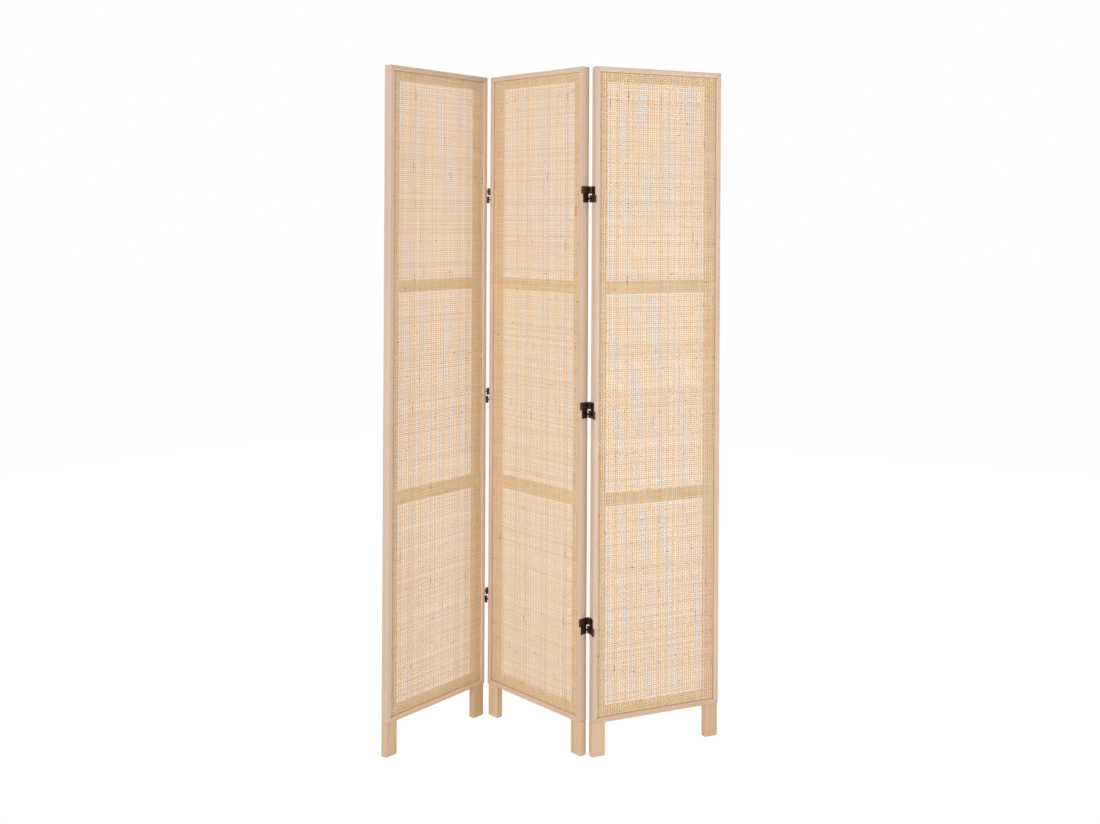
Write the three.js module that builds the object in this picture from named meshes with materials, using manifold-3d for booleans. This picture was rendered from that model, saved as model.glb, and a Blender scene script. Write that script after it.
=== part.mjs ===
// A free-standing folding screen: three framed panels of woven cane on short legs, joined by
// two rows of double-acting hinges. Millimetres, +Z up, the front of the screen towards -Y.
//
// Every panel is drawn flat first: x runs along it from its left edge, y runs back from its
// front face and z runs up from the floor. Every hinge is drawn flat too, with x = 0 half way
// between its two panels. The two folds then turn the pieces into the standing pose.

import * as THREE from 'three';
import { mergeVertices } from 'three/addons/utils/BufferGeometryUtils.js';
import Module from 'manifold-3d';

const wasm = await Module();
wasm.setup();

// Overall sizes.
const HEIGHT = 1700;
const PANEL_WIDTH = 355;
const PANEL_DEPTH = 22;

// The glue line or seat between two pieces that touch, and the room round a tenon or a screw.
const GAP = 0.3;

// The two folds of the standing pose, as the turn away from a straight line.
const VALLEY_FOLD = THREE.MathUtils.degToRad(98.5);
const RIDGE_FOLD = THREE.MathUtils.degToRad(70.7);

// Legs, with the frame standing on top of them.
const LEG_HEIGHT = 84;
const LEG_WIDTH = 36;
const LEG_SETBACK = 4;

// Outer frame: a mitred lipping all round, as deep as the panel.
const LIPPING_WIDTH = 12.5;

// Webbing: stretched over the inner frame, behind the face of the outer one. Its open weave is
// drawn as a plain grid of holes in front of each clear opening of the frame, many times
// coarser than the cane, with bands of this width left between the holes.
const WEBBING_SETBACK = 4;
const WEBBING_THICKNESS = 1.6;
const WEBBING_BACK = WEBBING_SETBACK + WEBBING_THICKNESS;
const WEBBING_COLUMNS = 3;
const WEBBING_ROWS = 6;
const WEBBING_BAND = 44;

// Inner frame: two stiles, a top rail and two cross bars. Its bottom rail is one board with
// the bottom of the outer frame, because it carries the legs.
const INNER_FRONT = WEBBING_BACK + GAP;
const INNER_DEPTH = PANEL_DEPTH - INNER_FRONT;
const INNER_EDGE = LIPPING_WIDTH + GAP;
const INNER_STILE_WIDTH = 23.2;
const INNER_RAIL_HEIGHT = 20.7;
const CROSS_BAR_HEIGHT = 29;
const CROSS_BAR_COUNT = 2;

// Rounded long edges of the boards.
const EDGE_RADIUS = 1.2;
const EDGE_STEPS = 2;

// How far a cutting shape runs past the surface that it opens.
const OVERCUT = 1;

// Round tenons on the ends of the rails and bars, and on top of the legs.
const TENON_RADIUS = 3;
const TENON_LENGTH = 12;
const TENON_SIDES = 8;
const CROSS_BAR_TENON_SPREAD = 7;
const BOTTOM_RAIL_TENON_RISE = 13.7;
const LEG_TENON_RISE = 22;
const LEG_TENON_INSETS = [18.5, 30.5];

// Hinges: how high they sit.
const TOP_HINGE_DROP = 315;
const BOTTOM_HINGE_RISE = 320;

// Hinge plates, one against the edge of each panel.
const PLATE_THICKNESS = 1.2;
const PLATE_HEIGHT = 40;
const PLATE_MARGIN = 1.5;
const STRAP_THICKNESS = 1;
const STRAP_SIDE_ROOM = 0.3;

// Barrels, pins and straps.
const AXIS_SETOUT = 3;
const HALF_OFFSET = 10.75;
const BARREL_RADIUS = 2.7;
const BARREL_HOLE_RADIUS = 1.5;
const KNUCKLE_HEIGHT = 5;
const STRAP_HEIGHT = 17.5;
const PIVOT_PLAY = 0.3;
const NOTCH_ROOM = 0.7;
const PIN_RADIUS = 1.2;
const PIN_HEAD_RADIUS = 2;
const PIN_HEAD_HEIGHT = 0.6;
const BARREL_SIDES = 10;
const PIN_SIDES = 8;

// Countersunk wood screws, two in each hinge plate.
const SCREW_SPREAD = 12;
const SCREW_RADIUS = 1.5;
const SCREW_HEAD_RADIUS = 2.8;
const SCREW_HEAD_DEPTH = 1.3;
const SCREW_POINT = 2.5;
const SCREW_LENGTH = 11;
const SCREW_SIDES = 8;

// Values that follow from the ones above.
const FRAME_HEIGHT = HEIGHT - LEG_HEIGHT;
const LEG_DEPTH = PANEL_DEPTH - LEG_SETBACK;
const INNER_BOTTOM = LEG_HEIGHT + INNER_EDGE;
const INNER_TOP = HEIGHT - INNER_EDGE;
const RAIL_START = INNER_EDGE + INNER_STILE_WIDTH + GAP;
const RAIL_LENGTH = PANEL_WIDTH - 2 * RAIL_START;
const TENON_DEPTH = INNER_FRONT + INNER_DEPTH / 2;
const TOP_HINGE = HEIGHT - TOP_HINGE_DROP;
const HINGES = [
  { level: 'top', centre: TOP_HINGE },
  { level: 'middle', centre: (TOP_HINGE + BOTTOM_HINGE_RISE) / 2 },
  { level: 'bottom', centre: BOTTOM_HINGE_RISE },
];
const PLATE_INNER_FACE = STRAP_THICKNESS / 2 + STRAP_SIDE_ROOM;
const PLATE_OUTER_FACE = PLATE_INNER_FACE + PLATE_THICKNESS;
const HALF_JOINT = PLATE_OUTER_FACE + GAP;
const BACK_AXIS = PANEL_DEPTH + AXIS_SETOUT;
const FRONT_AXIS = -AXIS_SETOUT;

// ---------------------------------------------------------------------------------------
// Materials

function makeMaterial(color, roughness, metalness) {
  return () => new THREE.MeshStandardMaterial({ color, roughness, metalness });
}

const lippingWood = makeMaterial(0xd8bc9c, 0.55, 0);
const innerWood = makeMaterial(0xd2a878, 0.65, 0);
const legWood = makeMaterial(0xd4b28c, 0.55, 0);
const cane = makeMaterial(0xe3c9a4, 0.75, 0);
const bronze = makeMaterial(0x35281f, 0.4, 0.9);

// ---------------------------------------------------------------------------------------
// Basic shapes

// A matrix that turns about an upright axis through (x, y).
function turnAbout(x, y, angle) {
  const there = new THREE.Matrix4().makeTranslation(x, y, 0);
  const turn = new THREE.Matrix4().makeRotationZ(angle);
  const back = new THREE.Matrix4().makeTranslation(-x, -y, 0);
  return there.multiply(turn).multiply(back);
}

function shift(x, y, z) {
  return new THREE.Matrix4().makeTranslation(x, y, z);
}

// A box given by its low and high corners.
function box(low, high) {
  const size = high.map((value, i) => value - low[i]);
  const middle = high.map((value, i) => (value + low[i]) / 2);
  return new THREE.BoxGeometry(...size).translate(...middle);
}

// An upright cylinder between two heights.
function upright(radius, x, y, low, high, sides) {
  const geometry = new THREE.CylinderGeometry(radius, radius, high - low, sides);
  return geometry.rotateX(Math.PI / 2).translate(x, y, (low + high) / 2);
}

// A cylinder that lies along x, between two values of x.
function lying(radius, y, z, low, high, sides) {
  const geometry = new THREE.CylinderGeometry(radius, radius, high - low, sides);
  return geometry.rotateZ(Math.PI / 2).translate((low + high) / 2, y, z);
}

// The cross-section of a board: a rectangle with rounded corners.
function boardSection(width, depth) {
  const section = new THREE.Shape();
  const corners = [
    [EDGE_RADIUS, EDGE_RADIUS, Math.PI],
    [width - EDGE_RADIUS, EDGE_RADIUS, -Math.PI / 2],
    [width - EDGE_RADIUS, depth - EDGE_RADIUS, 0],
    [EDGE_RADIUS, depth - EDGE_RADIUS, Math.PI / 2],
  ];
  const points = [];
  for (const [x, y, start] of corners) {
    for (let step = 0; step <= EDGE_STEPS; step += 1) {
      const angle = start + (step / EDGE_STEPS) * (Math.PI / 2);
      points.push(new THREE.Vector2(x + EDGE_RADIUS * Math.cos(angle), y + EDGE_RADIUS * Math.sin(angle)));
    }
  }
  section.setFromPoints(points);
  return section;
}

// A board of the given length, drawn along z with its width along x.
function board(width, depth, length) {
  return new THREE.ExtrudeGeometry(boardSection(width, depth), { depth: length, bevelEnabled: false });
}

// The same board with both ends cut at 45 degrees, its long side at x = 0.
function mitredBoard(width, depth, length) {
  const geometry = board(width, depth, length);
  const position = geometry.getAttribute('position');
  const mitreGap = (GAP / 2) * Math.SQRT2;
  for (let i = 0; i < position.count; i += 1) {
    const cut = position.getX(i) + mitreGap;
    const atStart = position.getZ(i) < length / 2;
    position.setZ(i, atStart ? cut : length - cut);
  }
  return geometry;
}

// Turns a board so that its width runs along one direction and its depth along another.
function laid(geometry, widthDirection, depthDirection, corner) {
  const width = new THREE.Vector3(...widthDirection);
  const depth = new THREE.Vector3(...depthDirection);
  const length = width.clone().cross(depth);
  const matrix = new THREE.Matrix4().makeBasis(width, depth, length).setPosition(...corner);
  return geometry.applyMatrix4(matrix);
}

function toManifold(geometry) {
  const bare = geometry.clone();
  bare.deleteAttribute('normal');
  bare.deleteAttribute('uv');
  const welded = mergeVertices(bare, 1e-4);
  const vertProperties = new Float32Array(welded.getAttribute('position').array);
  const triVerts = new Uint32Array(welded.getIndex().array);
  return new wasm.Manifold(new wasm.Mesh({ numProp: 3, vertProperties, triVerts }));
}

function fromManifold(solid) {
  const mesh = solid.getMesh();
  const geometry = new THREE.BufferGeometry();
  geometry.setAttribute('position', new THREE.BufferAttribute(mesh.vertProperties, 3));
  geometry.setIndex(new THREE.BufferAttribute(mesh.triVerts, 1));
  return geometry;
}

// Joins the shapes of one list into one solid and cuts those of the other list out of it.
function shaped(joined, removed) {
  let solid = toManifold(joined[0]);
  for (const geometry of joined.slice(1)) {
    solid = solid.add(toManifold(geometry));
  }
  for (const geometry of removed) {
    solid = solid.subtract(toManifold(geometry));
  }
  return fromManifold(solid);
}

// ---------------------------------------------------------------------------------------
// Tenons of one panel. Each is drawn once to size and once with room round it, for the hole

function crossBarBottoms() {
  const clear = INNER_TOP - INNER_BOTTOM - 2 * INNER_RAIL_HEIGHT - CROSS_BAR_COUNT * CROSS_BAR_HEIGHT;
  const opening = clear / (CROSS_BAR_COUNT + 1);
  const bottoms = [];
  for (let i = 0; i < CROSS_BAR_COUNT; i += 1) {
    const below = INNER_BOTTOM + INNER_RAIL_HEIGHT;
    bottoms.push(below + opening + i * (CROSS_BAR_HEIGHT + opening));
  }
  return bottoms;
}

function crossBarTenonHeights(bottom) {
  const middle = bottom + CROSS_BAR_HEIGHT / 2;
  return [middle - CROSS_BAR_TENON_SPREAD, middle + CROSS_BAR_TENON_SPREAD];
}

const TOP_RAIL_TENON_HEIGHTS = [INNER_TOP - INNER_RAIL_HEIGHT / 2];
const BOTTOM_RAIL_TENON_HEIGHTS = [INNER_BOTTOM + BOTTOM_RAIL_TENON_RISE];

function tenonRadius(room) {
  return TENON_RADIUS + room / Math.cos(Math.PI / TENON_SIDES);
}

// Level tenons. One cylinder runs right through the board and stands out of both its ends.
function railTenons(heights, room) {
  const low = RAIL_START - TENON_LENGTH - room;
  const high = PANEL_WIDTH - low;
  return heights.map((height) => lying(tenonRadius(room), TENON_DEPTH, height, low, high, TENON_SIDES));
}

function allRailTenonHeights() {
  const barHeights = crossBarBottoms().flatMap(crossBarTenonHeights);
  return [...BOTTOM_RAIL_TENON_HEIGHTS, ...TOP_RAIL_TENON_HEIGHTS, ...barHeights];
}

// Upright tenons on one leg. They pass through the bottom rail into the inner stile.
function legTenons(side, room) {
  const top = LEG_HEIGHT + LEG_TENON_RISE;
  return LEG_TENON_INSETS.map((inset) => {
    const x = side === 'left' ? inset : PANEL_WIDTH - inset;
    return upright(tenonRadius(room), x, TENON_DEPTH, LEG_HEIGHT / 2, top + room, TENON_SIDES);
  });
}

// ---------------------------------------------------------------------------------------
// Boards of one panel

function leftBoard(geometry, x, y, z) {
  return laid(geometry, [1, 0, 0], [0, 1, 0], [x, y, z]);
}

// The far side of the board lies at x, so it is turned half way round.
function rightBoard(geometry, x, y, depth, z) {
  return laid(geometry, [-1, 0, 0], [0, -1, 0], [x, y + depth, z]);
}

// A level board with its width running up from z.
function lowBoard(geometry, xEnd, y, z) {
  return laid(geometry, [0, 0, 1], [0, 1, 0], [xEnd, y, z]);
}

// A level board with its width running down from z.
function highBoard(geometry, xStart, y, z) {
  return laid(geometry, [0, 0, -1], [0, 1, 0], [xStart, y, z]);
}

function lipping(length) {
  return mitredBoard(LIPPING_WIDTH, PANEL_DEPTH, length);
}

function outerStiles(leftScrewHoles, rightScrewHoles) {
  const left = leftBoard(lipping(FRAME_HEIGHT), 0, 0, LEG_HEIGHT);
  const right = rightBoard(lipping(FRAME_HEIGHT), PANEL_WIDTH, 0, PANEL_DEPTH, LEG_HEIGHT);
  return {
    outer_stile_left: shaped([left], leftScrewHoles),
    outer_stile_right: shaped([right], rightScrewHoles),
  };
}

// A level board of the inner frame, between the stiles and tenoned into them.
function innerLevelBoard(height, bottom) {
  return lowBoard(
    board(height, INNER_DEPTH, RAIL_LENGTH), PANEL_WIDTH - RAIL_START, INNER_FRONT, bottom);
}

function bottomRail() {
  const outer = lowBoard(lipping(PANEL_WIDTH), PANEL_WIDTH, 0, LEG_HEIGHT);
  const inner = innerLevelBoard(INNER_RAIL_HEIGHT + LIPPING_WIDTH / 2, INNER_BOTTOM - LIPPING_WIDTH / 2);
  return shaped(
    [outer, inner, ...railTenons(BOTTOM_RAIL_TENON_HEIGHTS, 0)],
    [...legTenons('left', GAP), ...legTenons('right', GAP)]);
}

function crossBar(bottom) {
  return shaped([
    innerLevelBoard(CROSS_BAR_HEIGHT, bottom),
    ...railTenons(crossBarTenonHeights(bottom), 0),
  ], []);
}

function levelBoards() {
  const [lowerBar, upperBar] = crossBarBottoms();
  const innerTop = innerLevelBoard(INNER_RAIL_HEIGHT, INNER_TOP - INNER_RAIL_HEIGHT);
  return {
    inner_rail_top: shaped([innerTop, ...railTenons(TOP_RAIL_TENON_HEIGHTS, 0)], []),
    cross_bar_upper: crossBar(upperBar),
    cross_bar_lower: crossBar(lowerBar),
  };
}

function innerStiles() {
  const height = INNER_TOP - INNER_BOTTOM;
  const railHoles = railTenons(allRailTenonHeights(), GAP);
  const left = leftBoard(
    board(INNER_STILE_WIDTH, INNER_DEPTH, height), INNER_EDGE, INNER_FRONT, INNER_BOTTOM);
  const right = rightBoard(
    board(INNER_STILE_WIDTH, INNER_DEPTH, height),
    PANEL_WIDTH - INNER_EDGE, INNER_FRONT, INNER_DEPTH, INNER_BOTTOM);
  return {
    inner_stile_left: shaped([left], [...railHoles, ...legTenons('left', GAP)]),
    inner_stile_right: shaped([right], [...railHoles, ...legTenons('right', GAP)]),
  };
}

function legs() {
  const left = leftBoard(board(LEG_WIDTH, LEG_DEPTH, LEG_HEIGHT - GAP), 0, LEG_SETBACK, 0);
  const right = rightBoard(
    board(LEG_WIDTH, LEG_DEPTH, LEG_HEIGHT - GAP), PANEL_WIDTH, LEG_SETBACK, LEG_DEPTH, 0);
  return {
    leg_left: shaped([left, ...legTenons('left', 0)], []),
    leg_right: shaped([right, ...legTenons('right', 0)], []),
  };
}

// The clear openings of the inner frame, from the lowest up.
function clearOpenings() {
  const bars = crossBarBottoms();
  const bottoms = [INNER_BOTTOM + INNER_RAIL_HEIGHT, ...bars.map((bar) => bar + CROSS_BAR_HEIGHT)];
  const tops = [...bars, INNER_TOP - INNER_RAIL_HEIGHT];
  return bottoms.map((bottom, i) => ({ bottom, top: tops[i] }));
}

// The holes in the webbing in front of one clear opening.
function webbingHoles({ bottom, top }) {
  const width = RAIL_LENGTH / WEBBING_COLUMNS;
  const height = (top - bottom) / WEBBING_ROWS;
  const holes = [];
  for (let column = 0; column < WEBBING_COLUMNS; column += 1) {
    for (let row = 0; row < WEBBING_ROWS; row += 1) {
      const x = RAIL_START + column * width + WEBBING_BAND / 2;
      const z = bottom + row * height + WEBBING_BAND / 2;
      holes.push(box(
        [x, WEBBING_SETBACK - OVERCUT, z],
        [x + width - WEBBING_BAND, WEBBING_BACK + OVERCUT, z + height - WEBBING_BAND]));
    }
  }
  return holes;
}

// The webbing as one thin sheet, glued to the front of the inner frame.
function webbing() {
  const sheet = box(
    [INNER_EDGE, WEBBING_SETBACK, INNER_BOTTOM],
    [PANEL_WIDTH - INNER_EDGE, WEBBING_BACK, INNER_TOP]);
  return shaped([sheet], clearOpenings().flatMap(webbingHoles));
}

// ---------------------------------------------------------------------------------------
// One hinge, drawn flat. Its right-hand pieces are drawn here, and the left-hand ones are the
// same pieces turned half way round.

const LEFT_HAND = turnAbout(0, PANEL_DEPTH / 2, Math.PI);

// The right-hand plate carries a front barrel in the lower half and a back one in the upper.
const RIGHT_PIVOTS = [
  { y: FRONT_AXIS, z: -HALF_OFFSET, inward: 1 },
  { y: BACK_AXIS, z: HALF_OFFSET, inward: -1 },
];

// A countersunk screw, with its head just under the face of the plate and its point towards
// +x.
function screw(middle, room) {
  const profile = [
    [0, 0],
    [SCREW_HEAD_RADIUS + room, 0],
    [SCREW_RADIUS + room, SCREW_HEAD_DEPTH],
    [SCREW_RADIUS + room, SCREW_LENGTH - SCREW_POINT],
    [0, SCREW_LENGTH + room],
  ];
  const points = profile.map(([radius, along]) => new THREE.Vector2(radius, along));
  const geometry = new THREE.LatheGeometry(points, SCREW_SIDES);
  return geometry.rotateZ(-Math.PI / 2).translate(PLATE_INNER_FACE, PANEL_DEPTH / 2, middle);
}

function screws(centre, room) {
  return [screw(centre - SCREW_SPREAD, room), screw(centre + SCREW_SPREAD, room)];
}

// The pin of one pivot. It is fixed in the barrel of the plate, runs through both ends of the
// strap that turns on it, and is headed over at both ends.
function hingePin(y, middle) {
  const reach = STRAP_HEIGHT / 2 + PIVOT_PLAY;
  const profile = [
    [0, -reach - PIN_HEAD_HEIGHT],
    [PIN_HEAD_RADIUS, -reach - PIN_HEAD_HEIGHT],
    [PIN_HEAD_RADIUS, -reach],
    [PIN_RADIUS, -reach],
    [PIN_RADIUS, reach],
    [PIN_HEAD_RADIUS, reach],
    [PIN_HEAD_RADIUS, reach + PIN_HEAD_HEIGHT],
    [0, reach + PIN_HEAD_HEIGHT],
  ];
  const points = profile.map(([radius, along]) => new THREE.Vector2(radius, along));
  const pin = new THREE.LatheGeometry(points, PIN_SIDES);
  return pin.rotateX(Math.PI / 2).translate(0, y, middle);
}

// One plate with what is fixed in it: the screws that hold it and the pins of its pivots.
function hingePlate(centre) {
  const joined = [
    box(
      [PLATE_INNER_FACE, PLATE_MARGIN, centre - PLATE_HEIGHT / 2],
      [PLATE_OUTER_FACE, PANEL_DEPTH - PLATE_MARGIN, centre + PLATE_HEIGHT / 2]),
    ...screws(centre, 0),
  ];
  for (const pivot of RIGHT_PIVOTS) {
    const middle = centre + pivot.z;
    const low = middle - KNUCKLE_HEIGHT / 2;
    const high = middle + KNUCKLE_HEIGHT / 2;
    const root = pivot.y + pivot.inward * (AXIS_SETOUT + PLATE_MARGIN + PLATE_THICKNESS);
    joined.push(box(
      [PLATE_INNER_FACE, Math.min(pivot.y, root), low],
      [PLATE_OUTER_FACE, Math.max(pivot.y, root), high]));
    joined.push(upright(BARREL_RADIUS, 0, pivot.y, low, high, BARREL_SIDES));
    joined.push(hingePin(pivot.y, middle));
  }
  return shaped(joined, []);
}

// A strap reaches from the front axis to the back one, between the two plates. Its ends are
// notched for the barrels of the plates.
function strap(middle) {
  const low = middle - STRAP_HEIGHT / 2;
  const high = middle + STRAP_HEIGHT / 2;
  const half = STRAP_THICKNESS / 2;
  const notchLow = middle - KNUCKLE_HEIGHT / 2 - PIVOT_PLAY;
  const notchHigh = middle + KNUCKLE_HEIGHT / 2 + PIVOT_PLAY;
  const notchReach = BARREL_RADIUS + NOTCH_ROOM;
  const joined = [box([-half, FRONT_AXIS, low], [half, BACK_AXIS, high])];
  const removed = [];
  for (const axis of [FRONT_AXIS, BACK_AXIS]) {
    joined.push(upright(BARREL_RADIUS, 0, axis, low, high, BARREL_SIDES));
    removed.push(box(
      [-notchReach, axis - notchReach, notchLow],
      [notchReach, axis + notchReach, notchHigh]));
    removed.push(upright(BARREL_HOLE_RADIUS, 0, axis, low - OVERCUT, high + OVERCUT, PIN_SIDES));
  }
  return shaped(joined, removed);
}

// ---------------------------------------------------------------------------------------
// Places of the pieces, with the middle panel at rest
//
// In the valley the panels turn about the front pins, so the lower straps go with the first
// panel and the upper ones stay with the middle one. At the ridge they turn about the back
// pins, so the upper straps stay with the middle panel and the lower ones go with the last.

const VALLEY_X = -HALF_JOINT;
const RIDGE_X = PANEL_WIDTH + HALF_JOINT;

const valleyTurn = turnAbout(VALLEY_X, FRONT_AXIS, VALLEY_FOLD);
const ridgeTurn = turnAbout(RIDGE_X, BACK_AXIS, RIDGE_FOLD);
const leftPanelShift = shift(VALLEY_X - HALF_JOINT - PANEL_WIDTH, 0, 0);
const rightPanelShift = shift(RIDGE_X + HALF_JOINT, 0, 0);

const places = {
  panel_1: valleyTurn.clone().multiply(leftPanelShift),
  panel_2: new THREE.Matrix4(),
  panel_3: ridgeTurn.clone().multiply(rightPanelShift),
  valley_upper_straps: shift(VALLEY_X, 0, 0),
  valley_lower_straps: valleyTurn.clone().multiply(shift(VALLEY_X, 0, 0)),
  ridge_upper_straps: shift(RIDGE_X, 0, 0),
  ridge_lower_straps: ridgeTurn.clone().multiply(shift(RIDGE_X, 0, 0)),
};

// Where the hinges of a panel's two edges are drawn, in that panel's own frame.
const onLeftEdge = shift(VALLEY_X, 0, 0);
const onRightEdge = shift(RIDGE_X, 0, 0).multiply(LEFT_HAND);

// ---------------------------------------------------------------------------------------
// Assembly

const group = new THREE.Group();
group.name = 'folding_screen';

function addNode(place, name, geometry, material) {
  const plain = geometry.index ? geometry.toNonIndexed() : geometry;
  plain.computeVertexNormals();
  const mesh = new THREE.Mesh(plain.applyMatrix4(places[place]), material());
  mesh.name = name;
  group.add(mesh);
}

function addPieces(panel, pieces, material) {
  for (const [name, geometry] of Object.entries(pieces)) {
    addNode(panel, `${panel}_${name}`, geometry, material);
  }
}

// The screw holes that the hinges of one edge need.
function screwHoles(edge) {
  const holes = HINGES.flatMap((hinge) => screws(hinge.centre, GAP));
  return holes.map((hole) => hole.applyMatrix4(edge));
}

function addPanel(panel, hingedLeft, hingedRight) {
  const leftHoles = hingedLeft ? screwHoles(onLeftEdge) : [];
  const rightHoles = hingedRight ? screwHoles(onRightEdge) : [];
  addPieces(panel, outerStiles(leftHoles, rightHoles), lippingWood);
  addPieces(panel, {
    outer_rail_top: highBoard(lipping(PANEL_WIDTH), 0, 0, HEIGHT),
    bottom_rail: bottomRail(),
  }, lippingWood);
  addPieces(panel, innerStiles(), innerWood);
  addPieces(panel, levelBoards(), innerWood);
  addPieces(panel, legs(), legWood);
  addPieces(panel, { webbing: webbing() }, cane);
}

// The three hinges of one joint, between the panel on its left and the one on its right.
function addHinges(joint, leftPanel, rightPanel) {
  for (const { level, centre } of HINGES) {
    const name = `${joint}_${level}_hinge`;
    addNode(leftPanel, `${name}_left_plate`, hingePlate(centre).applyMatrix4(onRightEdge), bronze);
    addNode(rightPanel, `${name}_right_plate`, hingePlate(centre).applyMatrix4(onLeftEdge), bronze);
    addNode(`${joint}_upper_straps`, `${name}_upper_strap`, strap(centre + HALF_OFFSET), bronze);
    addNode(`${joint}_lower_straps`, `${name}_lower_strap`, strap(centre - HALF_OFFSET), bronze);
  }
}

addPanel('panel_1', false, true);
addPanel('panel_2', true, true);
addPanel('panel_3', true, false);
addHinges('valley', 'panel_1', 'panel_2');
addHinges('ridge', 'panel_2', 'panel_3');

// The row is turned so that the line from the first panel's free end to the last one's runs
// along x, and moved so that the origin is on the floor under the middle of its box.
const start = new THREE.Vector3(0, 0, 0).applyMatrix4(places.panel_1);
const end = new THREE.Vector3(PANEL_WIDTH, 0, 0).applyMatrix4(places.panel_3);
const heading = Math.atan2(end.y - start.y, end.x - start.x);
for (const mesh of group.children) {
  mesh.geometry.rotateZ(-heading);
}
const bounds = new THREE.Box3().setFromObject(group);
const middle = bounds.getCenter(new THREE.Vector3());
for (const mesh of group.children) {
  mesh.geometry.translate(-middle.x, -middle.y, 0);
}

export default group;
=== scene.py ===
"""Looks of a free-standing folding screen: three framed panels of woven cane on short legs."""
import math
import random

import bpy
import numpy as np
from mathutils import Matrix, Vector


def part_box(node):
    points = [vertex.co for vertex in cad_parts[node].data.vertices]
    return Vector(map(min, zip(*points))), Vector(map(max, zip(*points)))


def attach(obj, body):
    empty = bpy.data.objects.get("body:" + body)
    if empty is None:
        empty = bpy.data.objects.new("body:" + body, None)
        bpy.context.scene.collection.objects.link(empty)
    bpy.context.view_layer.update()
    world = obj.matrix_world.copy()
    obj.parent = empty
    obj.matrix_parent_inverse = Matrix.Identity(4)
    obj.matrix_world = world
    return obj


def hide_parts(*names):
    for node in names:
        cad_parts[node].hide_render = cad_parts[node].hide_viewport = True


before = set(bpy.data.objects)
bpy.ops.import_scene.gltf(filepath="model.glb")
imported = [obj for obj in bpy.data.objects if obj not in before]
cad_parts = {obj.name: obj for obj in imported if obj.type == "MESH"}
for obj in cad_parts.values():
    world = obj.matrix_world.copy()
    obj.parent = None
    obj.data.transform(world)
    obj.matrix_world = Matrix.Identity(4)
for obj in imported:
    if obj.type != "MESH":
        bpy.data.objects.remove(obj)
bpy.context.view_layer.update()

# ---------------------------------------------------------------------------------------
# Sizes, in metres. A panel is drawn flat: x runs along it from its left edge, y runs back
# from its front face and z runs up from the floor.

MM = 0.001
TOLERANCE = 0.01 * MM
HEIGHT = 1700 * MM
PANEL_WIDTH = 355 * MM
PANEL_DEPTH = 22 * MM
SEAT_GAP = 0.3 * MM

LEG_HEIGHT = 84 * MM
LEG_WIDTH = 36 * MM
LEG_SETBACK = 4 * MM

LIPPING_WIDTH = 12.5 * MM
EDGE_RADIUS = 1.3 * MM
INNER_EDGE_RADIUS = 1 * MM
MITRE_HAIRLINE = 0.15 * MM
WEBBING_SETBACK = 4 * MM
WEBBING_THICKNESS = 1.6 * MM

INNER_FRONT = WEBBING_SETBACK + WEBBING_THICKNESS + SEAT_GAP
INNER_EDGE = LIPPING_WIDTH + SEAT_GAP
INNER_STILE_WIDTH = 23.2 * MM
INNER_RAIL_HEIGHT = 20.7 * MM
CROSS_BAR_HEIGHT = 29 * MM
INNER_BOTTOM = LEG_HEIGHT + INNER_EDGE
INNER_TOP = HEIGHT - INNER_EDGE
RAIL_START = INNER_EDGE + INNER_STILE_WIDTH + SEAT_GAP
CLEAR_OPENING = (INNER_TOP - INNER_BOTTOM - 2 * INNER_RAIL_HEIGHT - 2 * CROSS_BAR_HEIGHT) / 3

VALLEY_FOLD = 98.5
RIDGE_FOLD = 70.7

HINGE_HEIGHTS = {"top": 1385 * MM, "middle": 852.5 * MM, "bottom": 320 * MM}
PLATE_INNER_FACE = 0.8 * MM
PLATE_THICKNESS = 1.2 * MM
PLATE_HEIGHT = 40 * MM
PLATE_MARGIN = 1.5 * MM
PLATE_CORNER_RADIUS = 1.6 * MM
PLATE_EDGE_RADIUS = 0.2 * MM
EAR_SETBACK = 1.2 * MM
HALF_JOINT = PLATE_INNER_FACE + PLATE_THICKNESS + SEAT_GAP
AXIS_SETOUT = 3 * MM
FRONT_AXIS = -AXIS_SETOUT
BACK_AXIS = PANEL_DEPTH + AXIS_SETOUT
HALF_OFFSET = 10.75 * MM
BARREL_RADIUS = 2.7 * MM
KNUCKLE_HEIGHT = 5 * MM
STRAP_THICKNESS = 1 * MM
STRAP_HEIGHT = 17.5 * MM
STRAP_CLEARANCE = 0.7 * MM
STRAP_EAR_LENGTH = 2.2 * MM
STEEL_EDGE_RADIUS = 0.15 * MM
PIVOT_PLAY = 0.3 * MM
PIN_RADIUS = 1.3 * MM
PIN_HEAD_RADIUS = 2 * MM
PIN_HEAD_HEIGHT = 0.6 * MM
PIN_HEAD_RIM = 0.7 * MM
PIN_HEAD_DROP = 0.3 * MM
PIN_EDGE_RADIUS = 0.1 * MM
PIN_HEAD_EDGE_RADIUS = 0.12 * MM
PIN_CLEARANCE = 0.1 * MM
BARREL_DISH_DEPTH = 0.5 * MM
SCREW_SPREAD = 12 * MM
SCREW_HEAD_RADIUS = 2.8 * MM
SCREW_HEAD_DEPTH = 0.9 * MM
SCREW_SLOT_WIDTH = 0.7 * MM
SCREW_SLOT_DEPTH = 0.5 * MM
SCREW_EDGE_RADIUS = 0.06 * MM

# The weave: how far apart the strands lie, how wide and thick they are, and how far each one
# is laid from its even place and wanders from a straight line.
WARP_PITCH = 6.2 * MM
WEFT_PITCH = 5.1 * MM
WARP_WIDTH = 3.45 * MM
WEFT_WIDTH = 2.9 * MM
STRAND_THICKNESS = 0.42 * MM
STRAND_RISE = 0.27 * MM
WARP_SCATTER = 0.3 * MM
WEFT_SCATTER = 0.26 * MM
WARP_WANDER = 0.22 * MM
WEFT_WANDER = 0.2 * MM

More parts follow.
